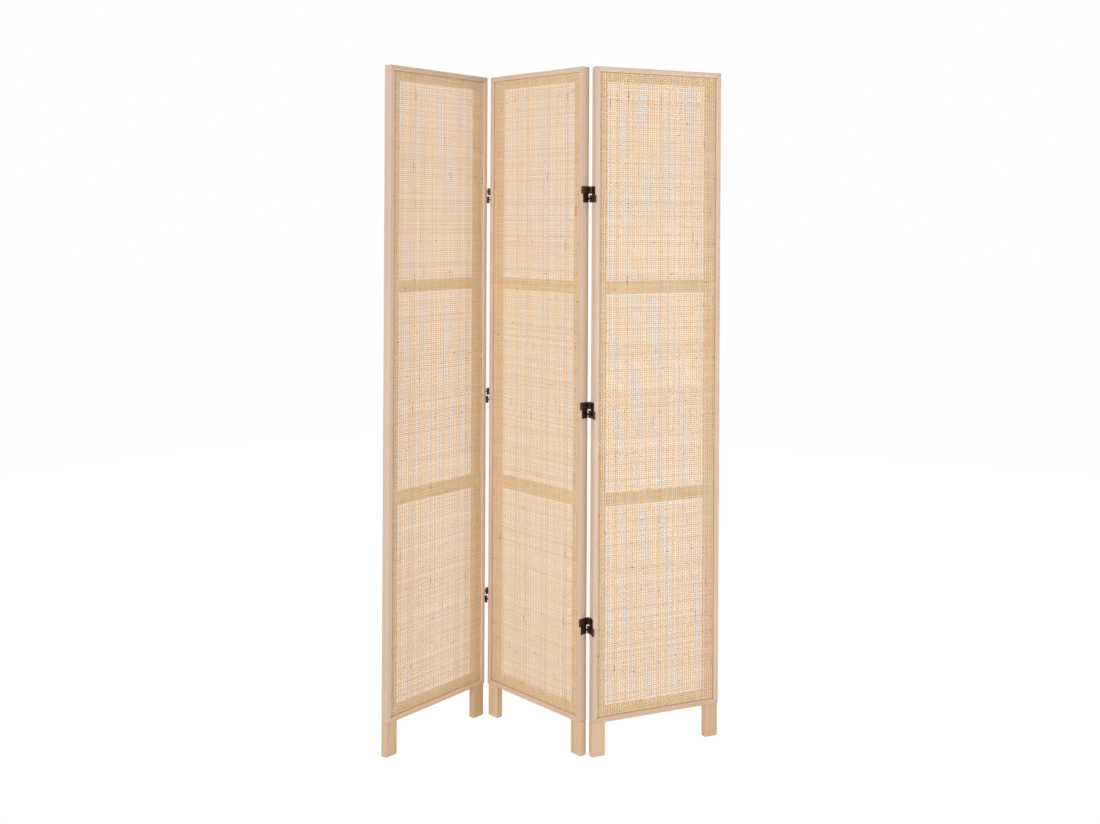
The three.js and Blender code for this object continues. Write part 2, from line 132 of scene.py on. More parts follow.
# How far apart two strands lie in the stain pattern, and how long the stains are drawn out.
STRAND_STEP = 0.05
WARP_STAIN_LENGTH = 3.5
WEFT_STAIN_LENGTH = 1

# What is drawn by chance is the same in every run.
BOARD_SEED = 7
WEAVE_SEED = 20

PANELS = ("panel_1", "panel_2", "panel_3")


# ---------------------------------------------------------------------------------------
# Places: from a flat panel or hinge to the standing screen

def turn_about(x, y, degrees):
    """A turn about the upright line through (x, y)."""
    there = Matrix.Translation((x, y, 0))
    return there @ Matrix.Rotation(math.radians(degrees), 4, "Z") @ there.inverted()


VALLEY_X = -HALF_JOINT
RIDGE_X = PANEL_WIDTH + HALF_JOINT
AT_VALLEY = Matrix.Translation((VALLEY_X, 0, 0))
AT_RIDGE = Matrix.Translation((RIDGE_X, 0, 0))
VALLEY_TURN = turn_about(VALLEY_X, FRONT_AXIS, VALLEY_FOLD)
RIDGE_TURN = turn_about(RIDGE_X, BACK_AXIS, RIDGE_FOLD)
LEFT_HAND = turn_about(0, PANEL_DEPTH / 2, 180)


def standing_row(first, last):
    """Turns the row so that it runs along x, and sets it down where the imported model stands."""
    start = first @ Vector((0, 0, 0))
    end = last @ Vector((PANEL_WIDTH, 0, 0))
    turned = Matrix.Rotation(-math.atan2(end.y - start.y, end.x - start.x), 4, "Z")
    low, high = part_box("panel_2_webbing")
    here = turned @ Vector((PANEL_WIDTH / 2, WEBBING_SETBACK + WEBBING_THICKNESS / 2, 0))
    there = (Vector(low) + Vector(high)) / 2
    return Matrix.Translation((there.x - here.x, there.y - here.y, 0)) @ turned


FIRST_PANEL = VALLEY_TURN @ Matrix.Translation((VALLEY_X - HALF_JOINT - PANEL_WIDTH, 0, 0))
LAST_PANEL = RIDGE_TURN @ Matrix.Translation((RIDGE_X + HALF_JOINT, 0, 0))
ROW = standing_row(FIRST_PANEL, LAST_PANEL)
PLACES = {"panel_1": ROW @ FIRST_PANEL, "panel_2": ROW, "panel_3": ROW @ LAST_PANEL}


# ---------------------------------------------------------------------------------------
# Materials

def colour(red, green, blue):
    """A colour as seen on a screen, from 0 to 255, as the shader's own numbers."""
    def linear(value):
        share = value / 255
        return share / 12.92 if share <= 0.04045 else ((share + 0.055) / 1.055) ** 2.4
    return (linear(red), linear(green), linear(blue), 1)


class Amount:
    """A number that varies over a surface. Arithmetic with it adds Math nodes."""

    def __init__(self, nodes, socket):
        self.nodes = nodes
        self.socket = socket

    def math(self, operation, first, second):
        node = self.nodes.node("Math", {"operation": operation}, {0: first, 1: second})
        return Amount(self.nodes, node.outputs[0])

    def __add__(self, other):
        return self.math("ADD", self, other)

    def __radd__(self, other):
        return self.math("ADD", other, self)

    def __sub__(self, other):
        return self.math("SUBTRACT", self, other)

    def __rsub__(self, other):
        return self.math("SUBTRACT", other, self)

    def __mul__(self, other):
        return self.math("MULTIPLY", self, other)

    def __rmul__(self, other):
        return self.math("MULTIPLY", other, self)

    def size(self):
        """The number without its sign."""
        return self.math("ABSOLUTE", self, 0)

    def larger(self, other):
        return self.math("MAXIMUM", self, other)


class Nodes:
    """The nodes of a material or of the world."""

    def __init__(self, tree):
        self.tree = tree

    def feed(self, socket, value):
        if isinstance(value, Amount):
            value = value.socket
        if isinstance(value, bpy.types.NodeSocket):
            self.tree.links.new(value, socket)
        else:
            socket.default_value = value

    def node(self, kind, settings=None, inputs=None):
        """A node with its settings and with the values or links of its sockets."""
        node = self.tree.nodes.new("ShaderNode" + kind)
        for key, value in (settings or {}).items():
            setattr(node, key, value)
        for key, value in (inputs or {}).items():
            self.feed(node.inputs[key], value)
        return node

    def white_rays(self):
        """1 for the rays of the camera, of reflections and of glass, which see plain white."""
        rays = self.node("LightPath").outputs
        seen = Amount(self, rays["Is Camera Ray"]).larger(rays["Is Glossy Ray"])
        return seen.larger(rays["Is Transmission Ray"])


class Finish(Nodes):
    """A material under construction."""

    def __init__(self, name):
        self.material = bpy.data.materials.new(name)
        self.material.use_nodes = True
        super().__init__(self.material.node_tree)
        self.shader = self.tree.nodes["Principled BSDF"]

    def shade(self, **inputs):
        """Sets the shader's own sockets, named with _ for a space."""
        for key, value in inputs.items():
            self.feed(self.shader.inputs[key.replace("_", " ")], value)

    def vector(self, name):
        return self.node("Attribute", {"attribute_name": name}).outputs["Vector"]

    def amount(self, name):
        return Amount(self, self.node("Attribute", {"attribute_name": name}).outputs["Fac"])

    def edge_nearness(self, name):
        """From 0 in the middle of a board's faces to 1 on its long edges."""
        parts = self.node("SeparateXYZ", {}, {0: self.vector(name)})
        across = Amount(self, parts.outputs[0])
        depth = Amount(self, parts.outputs[1])
        return across.size() * depth.size()

    def stretched(self, coordinates, scale):
        node = self.node("VectorMath", {"operation": "MULTIPLY"}, {0: coordinates, 1: scale})
        return node.outputs[0]

    def noise(self, coordinates, detail=2.0, roughness=0.5):
        inputs = {"Vector": coordinates, "Scale": 1.0, "Detail": detail, "Roughness": roughness}
        return Amount(self, self.node("TexNoise", {}, inputs).outputs[0])

    def between(self, value, low, high):
        """0 where the value is at its low mark and 1 where it is at its high one."""
        inputs = {"Value": value, "From Min": low, "From Max": high}
        node = self.node("MapRange", {"interpolation_type": "SMOOTHSTEP"}, inputs)
        return Amount(self, node.outputs[0])

    def blend(self, share, first, second):
        node = self.node("Mix", {"data_type": "RGBA"}, {0: share, 6: first, 7: second})
        return node.outputs[2]

    def bump(self, height, strength, distance):
        inputs = {"Height": height, "Strength": strength, "Distance": distance}
        return self.node("Bump", {}, inputs).outputs[0]


def wood(name, pale, deep, streak, grey_and_edge_highlight, gloss):
    """Planed wood with its grain along each board, greyer towards the outside of the panel, with a
    painted highlight along its long edges.
    """
    finish = Finish(name)
    grain = finish.vector("grain")
    tone = finish.amount("tone")
    bands = finish.noise(finish.stretched(grain, (70, 70, 2.4)), 3, 0.55)
    figure = finish.noise(finish.stretched(grain, (260, 260, 5)), 3, 0.6)
    fibres = finish.noise(finish.stretched(grain, (1400, 1400, 30)), 2, 0.6)
    pores = finish.between(finish.noise(finish.stretched(grain, (2400, 2400, 110)), 1), 0.62, 0.74)
    rubbed = finish.noise(finish.stretched(grain, (22, 22, 9)), 2)
    share = bands * 0.8 + figure * 0.5 + tone * 0.5 - 0.4
    body = finish.blend(finish.between(share, 0.15, 0.85), pale, deep)
    streaks = finish.between(figure * 0.6 + fibres * 0.4, 0.52, 0.72)
    streaked = finish.blend(streaks * 0.4, body, streak)
    weathered = finish.blend(finish.amount("outer") * 0.55, streaked, grey_and_edge_highlight)
    # The long edges are painted paler and greyer as a highlight on their rounding, and are made
    # rougher there as wear.
    edge_wear_and_highlight = finish.between(finish.edge_nearness("section") + rubbed * 0.2, 0.96, 1.08)
    coloured = finish.blend(pores * 0.3, weathered, streak)
    finish.shade(
        Base_Color=finish.blend(edge_wear_and_highlight * 0.4, coloured, grey_and_edge_highlight),
        Roughness=gloss + 0.18 * rubbed + 0.1 * fibres + 0.1 * edge_wear_and_highlight,
        Normal=finish.bump(fibres * 0.7 + pores * -0.5 + figure * 0.3, 0.35, 0.15 * MM))
    return finish.material


def woven_cane():
    """Pale split cane that lets some light through, with strands of different tone, a few dark
    stains and fine lines along each strand."""
    finish = Finish("woven_cane")
    fibre = finish.vector("grain")
    tone = finish.amount("tone")
    length = finish.noise(finish.stretched(fibre, (40, 40, 14)), 2)
    stains = finish.noise(finish.stretched(fibre, (40, 40, 40)), 1)
    lines = finish.noise(finish.stretched(fibre, (3200, 3200, 60)), 2, 0.6)
    share = tone * 0.45 + length * 0.7 - 0.1
    pale = colour(238, 215, 181)
    deep = colour(225, 192, 153)
    body = finish.blend(finish.between(share, 0.1, 0.9), pale, deep)
    dark = finish.between(stains + tone * 0.06, 0.68, 0.75)
    aged = finish.blend(dark * 0.65, body, colour(140, 112, 90))
    lined = finish.between(lines, 0.5, 0.8) * 0.25
    finish.shade(
        Base_Color=finish.blend(lined, aged, colour(196, 156, 112)),
        Subsurface_Weight=0.5,
        Subsurface_Scale=0.6 * MM,
        Subsurface_Radius=(1.0, 0.6, 0.4),
        Roughness=0.5 + 0.25 * lines,
        Normal=finish.bump(lines, 0.3, 0.1 * MM))
    return finish.material


def bronzed_steel():
    """Dark bronzed steel, rubbed brighter here and there."""
    finish = Finish("bronzed_steel")
    place = finish.node("TexCoord").outputs["Object"]
    cloud = finish.noise(finish.stretched(place, (180, 180, 180)), 3)
    scuffs = finish.noise(finish.stretched(place, (1500, 1500, 400)), 3, 0.65)
    rubbed = finish.between(scuffs * 0.6 + cloud * 0.4, 0.52, 0.68)
    body = finish.blend(cloud, colour(54, 38, 32), colour(82, 60, 48))
    finish.shade(
        Base_Color=finish.blend(rubbed * 0.4, body, colour(140, 110, 86)),
        Metallic=0.8 + 0.15 * rubbed,
        Roughness=0.36 - 0.12 * rubbed + 0.12 * scuffs,
        Normal=finish.bump(scuffs, 0.2, 0.05 * MM))
    return finish.material


MATERIALS = {
    "lipping_wood": wood(
        "lipping_wood", colour(230, 200, 176), colour(212, 176, 148), colour(182, 142, 114),
        colour(190, 174, 156), 0.42),
    "inner_wood": wood(
        "inner_wood", colour(240, 187, 130), colour(225, 166, 106), colour(184, 124, 76),
        colour(210, 180, 140), 0.5),
    "leg_wood": wood(
        "leg_wood", colour(226, 192, 156), colour(208, 171, 134), colour(174, 136, 100),
        colour(204, 182, 150), 0.45),
    "cane": woven_cane(),
    "hinge_bronze": bronzed_steel(),
}


# ---------------------------------------------------------------------------------------
# Modelling steps

def deselect_all():
    if bpy.context.mode != "OBJECT":
        bpy.ops.object.mode_set(mode="OBJECT")
    bpy.ops.object.select_all(action="DESELECT")


def make_active(piece):
    deselect_all()
    piece.select_set(True)
    bpy.context.view_layer.objects.active = piece


def block(low, high):
    """A block between two corners, to be shaped further."""
    deselect_all()
    low = Vector(low)
    high = Vector(high)
    bpy.ops.mesh.primitive_cube_add(size=1, location=(low + high) / 2, scale=high - low)
    bpy.ops.object.transform_apply(location=True, rotation=True, scale=True)
    return bpy.context.object


def drum(radius, centre, length, sides, axis="Z"):
    """A round blank with its length along z or x."""
    deselect_all()
    turn = (0, math.pi / 2, 0) if axis == "X" else (0, 0, 0)
    bpy.ops.mesh.primitive_cylinder_add(
        vertices=sides, radius=radius, depth=length, location=centre, rotation=turn)
    bpy.ops.object.transform_apply(location=True, rotation=True, scale=True)
    return bpy.context.object


def select_points(piece, chosen):
    """Selects the points that the test chooses, and goes into edit mode."""
    make_active(piece)
    bpy.ops.object.mode_set(mode="EDIT")
    bpy.ops.mesh.select_mode(type="VERT")
    bpy.ops.mesh.select_all(action="DESELECT")
    bpy.ops.object.mode_set(mode="OBJECT")
    for vertex in piece.data.vertices:
        vertex.select = chosen(vertex.co)
    bpy.ops.object.mode_set(mode="EDIT")


def select_faces(piece, chosen):
    """Selects the faces that the test chooses by centre and normal, and goes into edit mode."""
    make_active(piece)
    bpy.ops.object.mode_set(mode="EDIT")
    bpy.ops.mesh.select_mode(type="FACE")
    bpy.ops.mesh.select_all(action="DESELECT")
    bpy.ops.object.mode_set(mode="OBJECT")
    for face in piece.data.polygons:
        face.select = chosen(face.center, face.normal)
    bpy.ops.object.mode_set(mode="EDIT")


def move_points(piece, chosen, offset):
    select_points(piece, chosen)
    bpy.ops.transform.translate(value=offset)
    bpy.ops.object.mode_set(mode="OBJECT")


def sliced(piece, point, normal):
    """Cuts new edges right round the piece where a plane crosses it."""
    select_points(piece, lambda co: True)
    bpy.ops.mesh.bisect(plane_co=point, plane_no=normal)
    bpy.ops.object.mode_set(mode="OBJECT")


def bevelled(piece, width, segments, angle=50):
    """Rounds the edges that are sharper than the angle."""
    make_active(piece)
    bevel = piece.modifiers.new("round", "BEVEL")
    bevel.width = width
    bevel.segments = segments
    bevel.limit_method = "ANGLE"
    bevel.angle_limit = math.radians(angle)
    bpy.ops.object.modifier_apply(modifier=bevel.name)
    bpy.ops.object.shade_smooth_by_angle(angle=math.radians(40))
    return piece


def joined(pieces):
    deselect_all()
    for piece in pieces:
        piece.select_set(True)
    bpy.context.view_layer.objects.active = pieces[0]
    bpy.ops.object.join()
    return bpy.context.object


def copied(piece, name):
    copy = piece.copy()
    copy.data = piece.data.copy()
    copy.name = name
    copy.data.name = name
    bpy.context.scene.collection.objects.link(copy)
    return copy


def removed(piece):
    mesh = piece.data
    bpy.data.objects.remove(piece)
    bpy.data.meshes.remove(mesh)


def near(value, mark):
    return abs(value - mark) < TOLERANCE


def read_points(piece):
    points = np.empty(len(piece.data.vertices) * 3)
    piece.data.vertices.foreach_get("co", points)
    return points.reshape(-1, 3)


def write_vector(mesh, name, rows):
    stored = mesh.attributes.new(name, "FLOAT_VECTOR", "POINT")
    stored.data.foreach_set("vector", np.asarray(rows, np.float32).ravel())


def write_amount(mesh, name, values):
    stored = mesh.attributes.new(name, "FLOAT", "POINT")
    stored.data.foreach_set("value", np.asarray(values, np.float32))


def placed(piece, matrix, slot, body, node):
    """Sets a finished piece down in place of its CAD node."""
    piece.data.transform(matrix)
    piece.data.materials.clear()
    piece.data.materials.append(MATERIALS[slot])
    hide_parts(node)
    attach(piece, body)


# ---------------------------------------------------------------------------------------
# Boards

def mitred(board, across, along, inner_side, ends):
    """Cuts both ends of a board at 45 degrees, inwards from its long outer side."""
    for end, inward in ends:
        offset = [0, 0, 0]
        offset[along] = inward * MITRE_HAIRLINE
        move_points(board, lambda co: near(co[along], end), offset)
        offset[along] = inward * LIPPING_WIDTH
        shifted_end = end + inward * MITRE_HAIRLINE
        move_points(
            board, lambda co: near(co[along], shifted_end) and near(co[across], inner_side), offset)
    return board


def finished_board(board, radius, segments, angle=50):
    """Rounds a board's edges and stores where each point lies in its section, from -1 to 1
    across the board and from -1 to 1 through it."""
    bevelled(board, radius, segments, angle)
    points = read_points(board)
    middle = (points.max(0) + points.min(0)) / 2
    half = (points.max(0) - points.min(0)) / 2
    share = (points - middle) / half
    across = 0 if half[0] < half[2] else 2
    section = np.stack([share[:, across], share[:, 1], np.zeros(len(points))], axis=1)
    write_vector(board.data, "section", section)
    return board


def outer_stile(left, right, inner_side):
    stile = block((left, 0, LEG_HEIGHT), (right, PANEL_DEPTH, HEIGHT))
    mitred(stile, 0, 2, inner_side, [(LEG_HEIGHT, 1), (HEIGHT, -1)])
    return finished_board(stile, EDGE_RADIUS, 4, 30)


def outer_rail(low, high, inner_side):
    rail = block((0, 0, low), (PANEL_WIDTH, PANEL_DEPTH, high))
    mitred(rail, 2, 0, inner_side, [(0, 1), (PANEL_WIDTH, -1)])
    return finished_board(rail, EDGE_RADIUS, 4, 30)


def inner_block(left, right, low, high):
    board = block((left, INNER_FRONT, low), (right, PANEL_DEPTH, high))
    return finished_board(board, INNER_EDGE_RADIUS, 3)


def inner_stile(left):
    return inner_block(left, left + INNER_STILE_WIDTH, INNER_BOTTOM, INNER_TOP)


def inner_level(low, high):
    return inner_block(RAIL_START, PANEL_WIDTH - RAIL_START, low, high)


def cross_bar(low):
    return inner_level(low, low + CROSS_BAR_HEIGHT)


def leg(left):
    """A short leg with its lower end eased all round."""
    post = block((left, LEG_SETBACK, 0), (left + LEG_WIDTH, PANEL_DEPTH, LEG_HEIGHT - SEAT_GAP))
    return finished_board(post, EDGE_RADIUS, 4)


def flat_boards():
    """The boards of one flat panel, each with its wood and the direction of its grain."""
    lip = LIPPING_WIDTH
    right = PANEL_WIDTH
    bottom = LEG_HEIGHT
    top = HEIGHT
    inner_right = right - INNER_EDGE - INNER_STILE_WIDTH
    opening_top = INNER_TOP - INNER_RAIL_HEIGHT
    opening_bottom = INNER_BOTTOM + INNER_RAIL_HEIGHT
    lower_bar = opening_bottom + CLEAR_OPENING
    upper_bar = lower_bar + CROSS_BAR_HEIGHT + CLEAR_OPENING
    return {
        "outer_stile_left": (outer_stile(0, lip, lip), "lipping_wood", "up"),
        "outer_stile_right": (outer_stile(right - lip, right, right - lip), "lipping_wood", "up"),
        "outer_rail_top": (outer_rail(top - lip, top, top - lip), "lipping_wood", "level"),
        "bottom_rail": (outer_rail(bottom, bottom + lip, bottom + lip), "lipping_wood", "level"),
        "inner_bottom_rail": (inner_level(bottom + lip / 2, opening_bottom), "inner_wood", "level"),
        "inner_stile_left": (inner_stile(INNER_EDGE), "inner_wood", "up"),
        "inner_stile_right": (inner_stile(inner_right), "inner_wood", "up"),
        "inner_rail_top": (inner_level(opening_top, INNER_TOP), "inner_wood", "level"),
        "cross_bar_upper": (cross_bar(upper_bar), "inner_wood", "level"),
        "cross_bar_lower": (cross_bar(lower_bar), "inner_wood", "level"),
        "leg_left": (leg(0), "leg_wood", "up"),
        "leg_right": (leg(right - LEG_WIDTH), "leg_wood", "up"),
    }


def write_grain(board, direction, chance):
    """Stores where each point lies in its own board, the board's own tone, and how near each
    point is to the outside of the panel."""
    points = read_points(board)
    order = [0, 1, 2] if direction == "up" else [2, 1, 0]
    start = [chance.uniform(0, 40) for _ in range(3)]
    write_vector(board.data, "grain", points[:, order] + np.array(start))
    write_amount(board.data, "tone", np.full(len(points), chance.random()))
    inset = np.minimum(np.minimum(points[:, 0], PANEL_WIDTH - points[:, 0]), HEIGHT - points[:, 2])
    write_amount(board.data, "outer", np.clip(1 - inset / LIPPING_WIDTH, 0, 1))


def make_boards():
    """All boards of the three panels. The two bottom rails of a panel share one node."""
    chance = random.Random(BOARD_SEED)
    shared_node = {"inner_bottom_rail": "bottom_rail"}
    for part, (board, slot, direction) in flat_boards().items():
        for panel in PANELS:
            piece = copied(board, f"{panel}_{part}_board")
            write_grain(piece, direction, chance)
            node = shared_node.get(part, part)
            placed(piece, PLACES[panel], slot, panel, f"{panel}_{node}")
        removed(board)


# ---------------------------------------------------------------------------------------
# Woven cane

def wander(generator, strands, points, size):
    """A slow sideways drift of each strand, as a table of strands by points."""
    along = np.linspace(0, 1, points)[None, :]
    drift = np.zeros((strands, points))
    for waves in (2.0, 5.0, 11.0):
        phase = generator.uniform(0, 2 * math.pi, (strands, 1))
        strength = generator.uniform(0.2, 1.0, (strands, 1)) * size / waves ** 0.5
        drift += strength * np.sin(2 * math.pi * waves * along + phase)
    return drift


def strand_mesh(name, along, across, through, width, tones, stain_length):
    """Flat strands as one mesh. The tables hold the middle line of each strand, point by
    point, as (distance along it, place across it, depth)."""
    strands, points = across.shape
    corners = ((-0.5, -0.5), (0.5, -0.5), (0.5, 0.5), (-0.5, 0.5))
    rings = np.empty((strands, points, 4, 3), np.float32)
    grain = np.empty((strands, points, 4, 3), np.float32)
    for corner, (side, face) in enumerate(corners):
        rings[:, :, corner, 0] = across + side * width
        rings[:, :, corner, 1] = through + face * STRAND_THICKNESS
        rings[:, :, corner, 2] = along
        grain[:, :, corner, 0] = side * WARP_WIDTH + np.arange(strands)[:, None] * STRAND_STEP
        grain[:, :, corner, 1] = face * STRAND_THICKNESS
        grain[:, :, corner, 2] = along / stain_length
    first = (np.arange(strands)[:, None] * points + np.arange(points - 1)[None, :]) * 4
    sides = []
    for corner in range(4):
        following = (corner + 1) % 4
        quad = [first + corner, first + following, first + 4 + following, first + 4 + corner]
        sides.append(np.stack(quad, axis=-1))
    sides = np.concatenate([side.reshape(-1, 4) for side in sides])
    start = np.arange(strands) * points * 4
    end = start + (points - 1) * 4
    starts = np.stack([start + 3, start + 2, start + 1, start], axis=-1)
    ends = np.stack([end, end + 1, end + 2, end + 3], axis=-1)
    faces = np.concatenate([sides, starts, ends])
    mesh = bpy.data.meshes.new(name)
    mesh.from_pydata(rings.reshape(-1, 3), [], faces.tolist())
    write_vector(mesh, "grain", grain)
    write_amount(mesh, "tone", np.repeat(tones, points * 4))
    mesh.shade_smooth()
    return mesh


def weave(panel, seed):
    """The upright and the level strands of one panel, each passing over and under in turn."""
    generator = np.random.default_rng(seed)
    width = PANEL_WIDTH - 2 * INNER_EDGE
    height = INNER_TOP - INNER_BOTTOM
    columns = round(width / WARP_PITCH)
    rows = round(height / WEFT_PITCH)
    middle = WEBBING_SETBACK + WEBBING_THICKNESS / 2
    x = INNER_EDGE + (np.arange(columns) + 0.5) * width / columns
    z = INNER_BOTTOM + (np.arange(rows) + 0.5) * height / rows
    x = x + generator.normal(0, WARP_SCATTER, columns)
    z = z + generator.normal(0, WEFT_SCATTER, rows)
    over = np.where((np.arange(columns)[:, None] + np.arange(rows)[None, :]) % 2 == 0, -1, 1)
    warp_x = x[:, None] + wander(generator, columns, rows, WARP_WANDER)
    weft_z = z[:, None] + wander(generator, rows, columns, WEFT_WANDER)

    def with_ends(table, low, high):
        """Adds a point at both edges of the webbing, with the nearest point's value where no
        other is given."""
        first = np.full((len(table), 1), low) if low is not None else table[:, :1]
        last = np.full((len(table), 1), high) if high is not None else table[:, -1:]
        return np.concatenate([first, table, last], axis=1)

    def widths(count, points, size):
        own = generator.uniform(0.8, 1.2, (count, 1))
        return size * own * (1 + wander(generator, count, points, 0.05))

    warp = strand_mesh(
        f"{panel}_warp",
        with_ends(weft_z.T.copy(), INNER_BOTTOM, INNER_TOP),
        with_ends(warp_x, None, None),
        with_ends(middle + over * STRAND_RISE, middle, middle),
        with_ends(widths(columns, rows, WARP_WIDTH), None, None),
        generator.random(columns), WARP_STAIN_LENGTH)
    weft = strand_mesh(
        f"{panel}_weft",
        with_ends(warp_x.T.copy(), INNER_EDGE, PANEL_WIDTH - INNER_EDGE),
        with_ends(weft_z, None, None),
        with_ends(middle - over.T * STRAND_RISE, middle, middle),
        with_ends(widths(rows, columns, WEFT_WIDTH), None, None),
        generator.random(rows), WEFT_STAIN_LENGTH)
    upright_to_level = Matrix(((0, 0, 1, 0), (0, 1, 0, 0), (1, 0, 0, 0), (0, 0, 0, 1)))
    weft.transform(upright_to_level)
    weft.flip_normals()
    return warp, weft


def make_webbing():
    flat = (PANEL_WIDTH - 2 * INNER_EDGE, INNER_TOP - INNER_BOTTOM)
    for number, panel in enumerate(PANELS):
        for mesh in weave(panel, WEAVE_SEED + number):
            piece = bpy.data.objects.new(mesh.name, mesh)
            bpy.context.scene.collection.objects.link(piece)
            placed(piece, PLACES[panel], "cane", panel, f"{panel}_webbing")
        flat[0] * flat[1] * WARP_WIDTH / WARP_PITCH


# ---------------------------------------------------------------------------------------
# Hinges. Each piece is drawn flat about the height of its own hinge or hinge half.

def barrel(axis, low, high):
    """A rolled steel barrel with its ends dished round the pin."""
    tube = drum(BARREL_RADIUS, (0, axis, (low + high) / 2), high - low, 28)
    select_faces(tube, lambda centre, normal: abs(normal.z) > 0.9)
    wall = BARREL_RADIUS - PIN_RADIUS - PIN_CLEARANCE
    bpy.ops.mesh.inset(thickness=wall, use_individual=True)
    bpy.ops.mesh.extrude_region_shrink_fatten(
        TRANSFORM_OT_shrink_fatten={"value": -BARREL_DISH_DEPTH})
    bpy.ops.object.mode_set(mode="OBJECT")
    return bevelled(tube, STEEL_EDGE_RADIUS, 2, 60)


def pin_head(axis, low, high, top_side):
    """The headed-over end of a pin, as a low dome."""
    head = drum(PIN_HEAD_RADIUS, (0, axis, (low + high) / 2), high - low, 24)
    outer = high if top_side else low
    select_faces(head, lambda centre, normal: near(centre.z, outer))
    bpy.ops.mesh.inset(thickness=PIN_HEAD_RIM)
    bpy.ops.object.mode_set(mode="OBJECT")
    rim = PIN_HEAD_RADIUS - 0.1 * MM
    drop = -PIN_HEAD_DROP if top_side else PIN_HEAD_DROP
    move_points(
        head,
        lambda co: near(co.z, outer) and math.hypot(co.x, co.y - axis) > rim,
        (0, 0, drop))
    return bevelled(head, PIN_HEAD_EDGE_RADIUS, 2, 20)


def hinge_pin(axis, middle):
    reach = STRAP_HEIGHT / 2 + PIVOT_PLAY
    shank = drum(PIN_RADIUS, (0, axis, middle), 2 * reach, 20)
    bevelled(shank, PIN_EDGE_RADIUS, 1, 60)
    return [
        shank,
        pin_head(axis, middle + reach, middle + reach + PIN_HEAD_HEIGHT, True),
        pin_head(axis, middle - reach - PIN_HEAD_HEIGHT, middle - reach, False),
    ]


def screw_head(height):
    """A countersunk head, flush with the plate, with one slot across it."""
    middle = (PLATE_INNER_FACE + SCREW_HEAD_DEPTH / 2, PANEL_DEPTH / 2, height)
    head = drum(SCREW_HEAD_RADIUS, middle, SCREW_HEAD_DEPTH, 24, "X")
    half_slot = SCREW_SLOT_WIDTH / 2
    for side in (-half_slot, half_slot):
        sliced(head, (0, 0, height + side), (0, 0, 1))
    select_faces(
        head,
        lambda centre, normal: normal.x < -0.9 and abs(centre.z - height) < half_slot)
    bpy.ops.mesh.extrude_region_move(
        TRANSFORM_OT_translate={"value": (SCREW_SLOT_DEPTH, 0, 0)})
    bpy.ops.object.mode_set(mode="OBJECT")
    return bevelled(head, SCREW_EDGE_RADIUS, 1, 50)


def plate_body():
    """The flat of the plate, with rounded corners."""
    low = (PLATE_INNER_FACE, PLATE_MARGIN, -PLATE_HEIGHT / 2)
    high = (PLATE_INNER_FACE + PLATE_THICKNESS, PANEL_DEPTH - PLATE_MARGIN, PLATE_HEIGHT / 2)
    body = block(low, high)
    make_active(body)
    bpy.ops.object.mode_set(mode="EDIT")
    bpy.ops.mesh.select_mode(type="EDGE")
    bpy.ops.mesh.select_all(action="DESELECT")
    bpy.ops.object.mode_set(mode="OBJECT")
    points = body.data.vertices
    for edge in body.data.edges:
        first, second = (points[index].co for index in edge.vertices)
        edge.select = abs(first.x - second.x) > PLATE_THICKNESS / 2
    bpy.ops.object.mode_set(mode="EDIT")
    bpy.ops.mesh.bevel(offset=PLATE_CORNER_RADIUS, segments=5)
    bpy.ops.object.mode_set(mode="OBJECT")
    return bevelled(body, PLATE_EDGE_RADIUS, 2)


def hinge_plate():
    """The right-hand plate with its two barrels, pins and screw heads."""
    pieces = [plate_body(), screw_head(SCREW_SPREAD), screw_head(-SCREW_SPREAD)]
    for axis, middle, inward in ((FRONT_AXIS, -HALF_OFFSET, 1), (BACK_AXIS, HALF_OFFSET, -1)):
        low = middle - KNUCKLE_HEIGHT / 2
        high = middle + KNUCKLE_HEIGHT / 2
        start = axis + inward * EAR_SETBACK
        root = axis + inward * (AXIS_SETOUT + PLATE_MARGIN + PLATE_THICKNESS)
        ear = block(
            (PLATE_INNER_FACE, min(start, root), low),
            (PLATE_INNER_FACE + PLATE_THICKNESS, max(start, root), high))
        pieces.append(bevelled(ear, STEEL_EDGE_RADIUS, 2))
        pieces.append(barrel(axis, low, high))
        pieces.extend(hinge_pin(axis, middle))
    return joined(pieces)


def hinge_strap():
    """A strap with a notch at each end, where the barrels of the plates turn, and a rolled
    barrel above and below each notch."""
    half = STRAP_THICKNESS / 2
    top = STRAP_HEIGHT / 2
    notch = KNUCKLE_HEIGHT / 2 + PIVOT_PLAY
    front = FRONT_AXIS + BARREL_RADIUS + STRAP_CLEARANCE
    back = BACK_AXIS - BARREL_RADIUS - STRAP_CLEARANCE
    body = block((-half, front, -top), (half, back, top))
    sliced(body, (0, 0, notch), (0, 0, 1))
    sliced(body, (0, 0, -notch), (0, 0, 1))
    for side, mark in ((-1, front), (1, back)):
        select_faces(
            body,
            lambda centre, normal: near(centre.y, mark) and abs(centre.z) > notch)
        bpy.ops.mesh.extrude_region_move(
            TRANSFORM_OT_translate={"value": (0, side * STRAP_EAR_LENGTH, 0)})
        bpy.ops.object.mode_set(mode="OBJECT")
    pieces = [bevelled(body, STEEL_EDGE_RADIUS, 2)]
    for axis in (FRONT_AXIS, BACK_AXIS):
        pieces.append(barrel(axis, notch, top))
        pieces.append(barrel(axis, -top, -notch))
    return joined(pieces)


